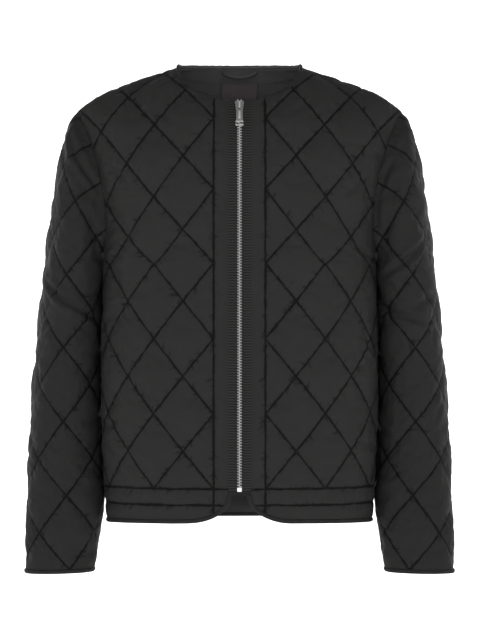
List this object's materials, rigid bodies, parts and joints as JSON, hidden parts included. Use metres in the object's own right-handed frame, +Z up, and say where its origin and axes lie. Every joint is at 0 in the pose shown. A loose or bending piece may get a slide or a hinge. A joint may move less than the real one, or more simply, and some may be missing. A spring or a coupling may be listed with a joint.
{
  "type": "quilted jacket",
  "caption": "Collarless zip-front quilted jacket with long sleeves and bound edges, filled out as if worn, with no wearer in it.",
  "frame": {"origin": "the middle of the neck opening, level with the inner ends of the shoulder seams, where the wearer's neck and shoulders hold the jacket", "axes": "+Z up, the front with the zip faces -Y, +X is the wearer's left"},
  "size_m": [0.6158, 0.2532, 0.7301],
  "materials": {
    "quilted_shell": "black quilted nylon, softly shiny, puffed between plain diamond quilting lines",
    "binding": "folded black nylon binding, softly shiny",
    "facing": "smooth black woven facing and loop, matt",
    "label": "blank dark woven label",
    "zip_tape": "black woven tape, matt",
    "zip_metal": "polished silver-coloured zip metal with fine scratches"
  },
  "bodies": {
    "jacket": {"front_left": "quilted_shell", "front_right": "quilted_shell", "back": "quilted_shell", "sleeve_left": "quilted_shell", "sleeve_right": "quilted_shell", "neck_binding": "binding", "hem_binding": "binding", "cuff_binding_left": "binding", "cuff_binding_right": "binding", "back_neck_facing": "facing", "hanger_loop": "facing", "neck_label": "label", "zip_tape_left": "zip_tape", "zip_tape_right": "zip_tape", "zip_teeth_left": "zip_metal", "zip_teeth_right": "zip_metal", "zip_slider": "zip_metal", "zip_stop_left": "zip_metal", "zip_stop_right": "zip_metal", "zip_box": "zip_metal"},
    "pull": {"zip_pull": "zip_metal"}
  },
  "joints": [
    {"name": "pull_swing", "type": "hinge", "parent": "jacket", "child": "pull", "pos_m": [0, -0.10172, -0.06422], "axis": [-1, 0, 0], "range_deg": [0, 165]}
  ]
}
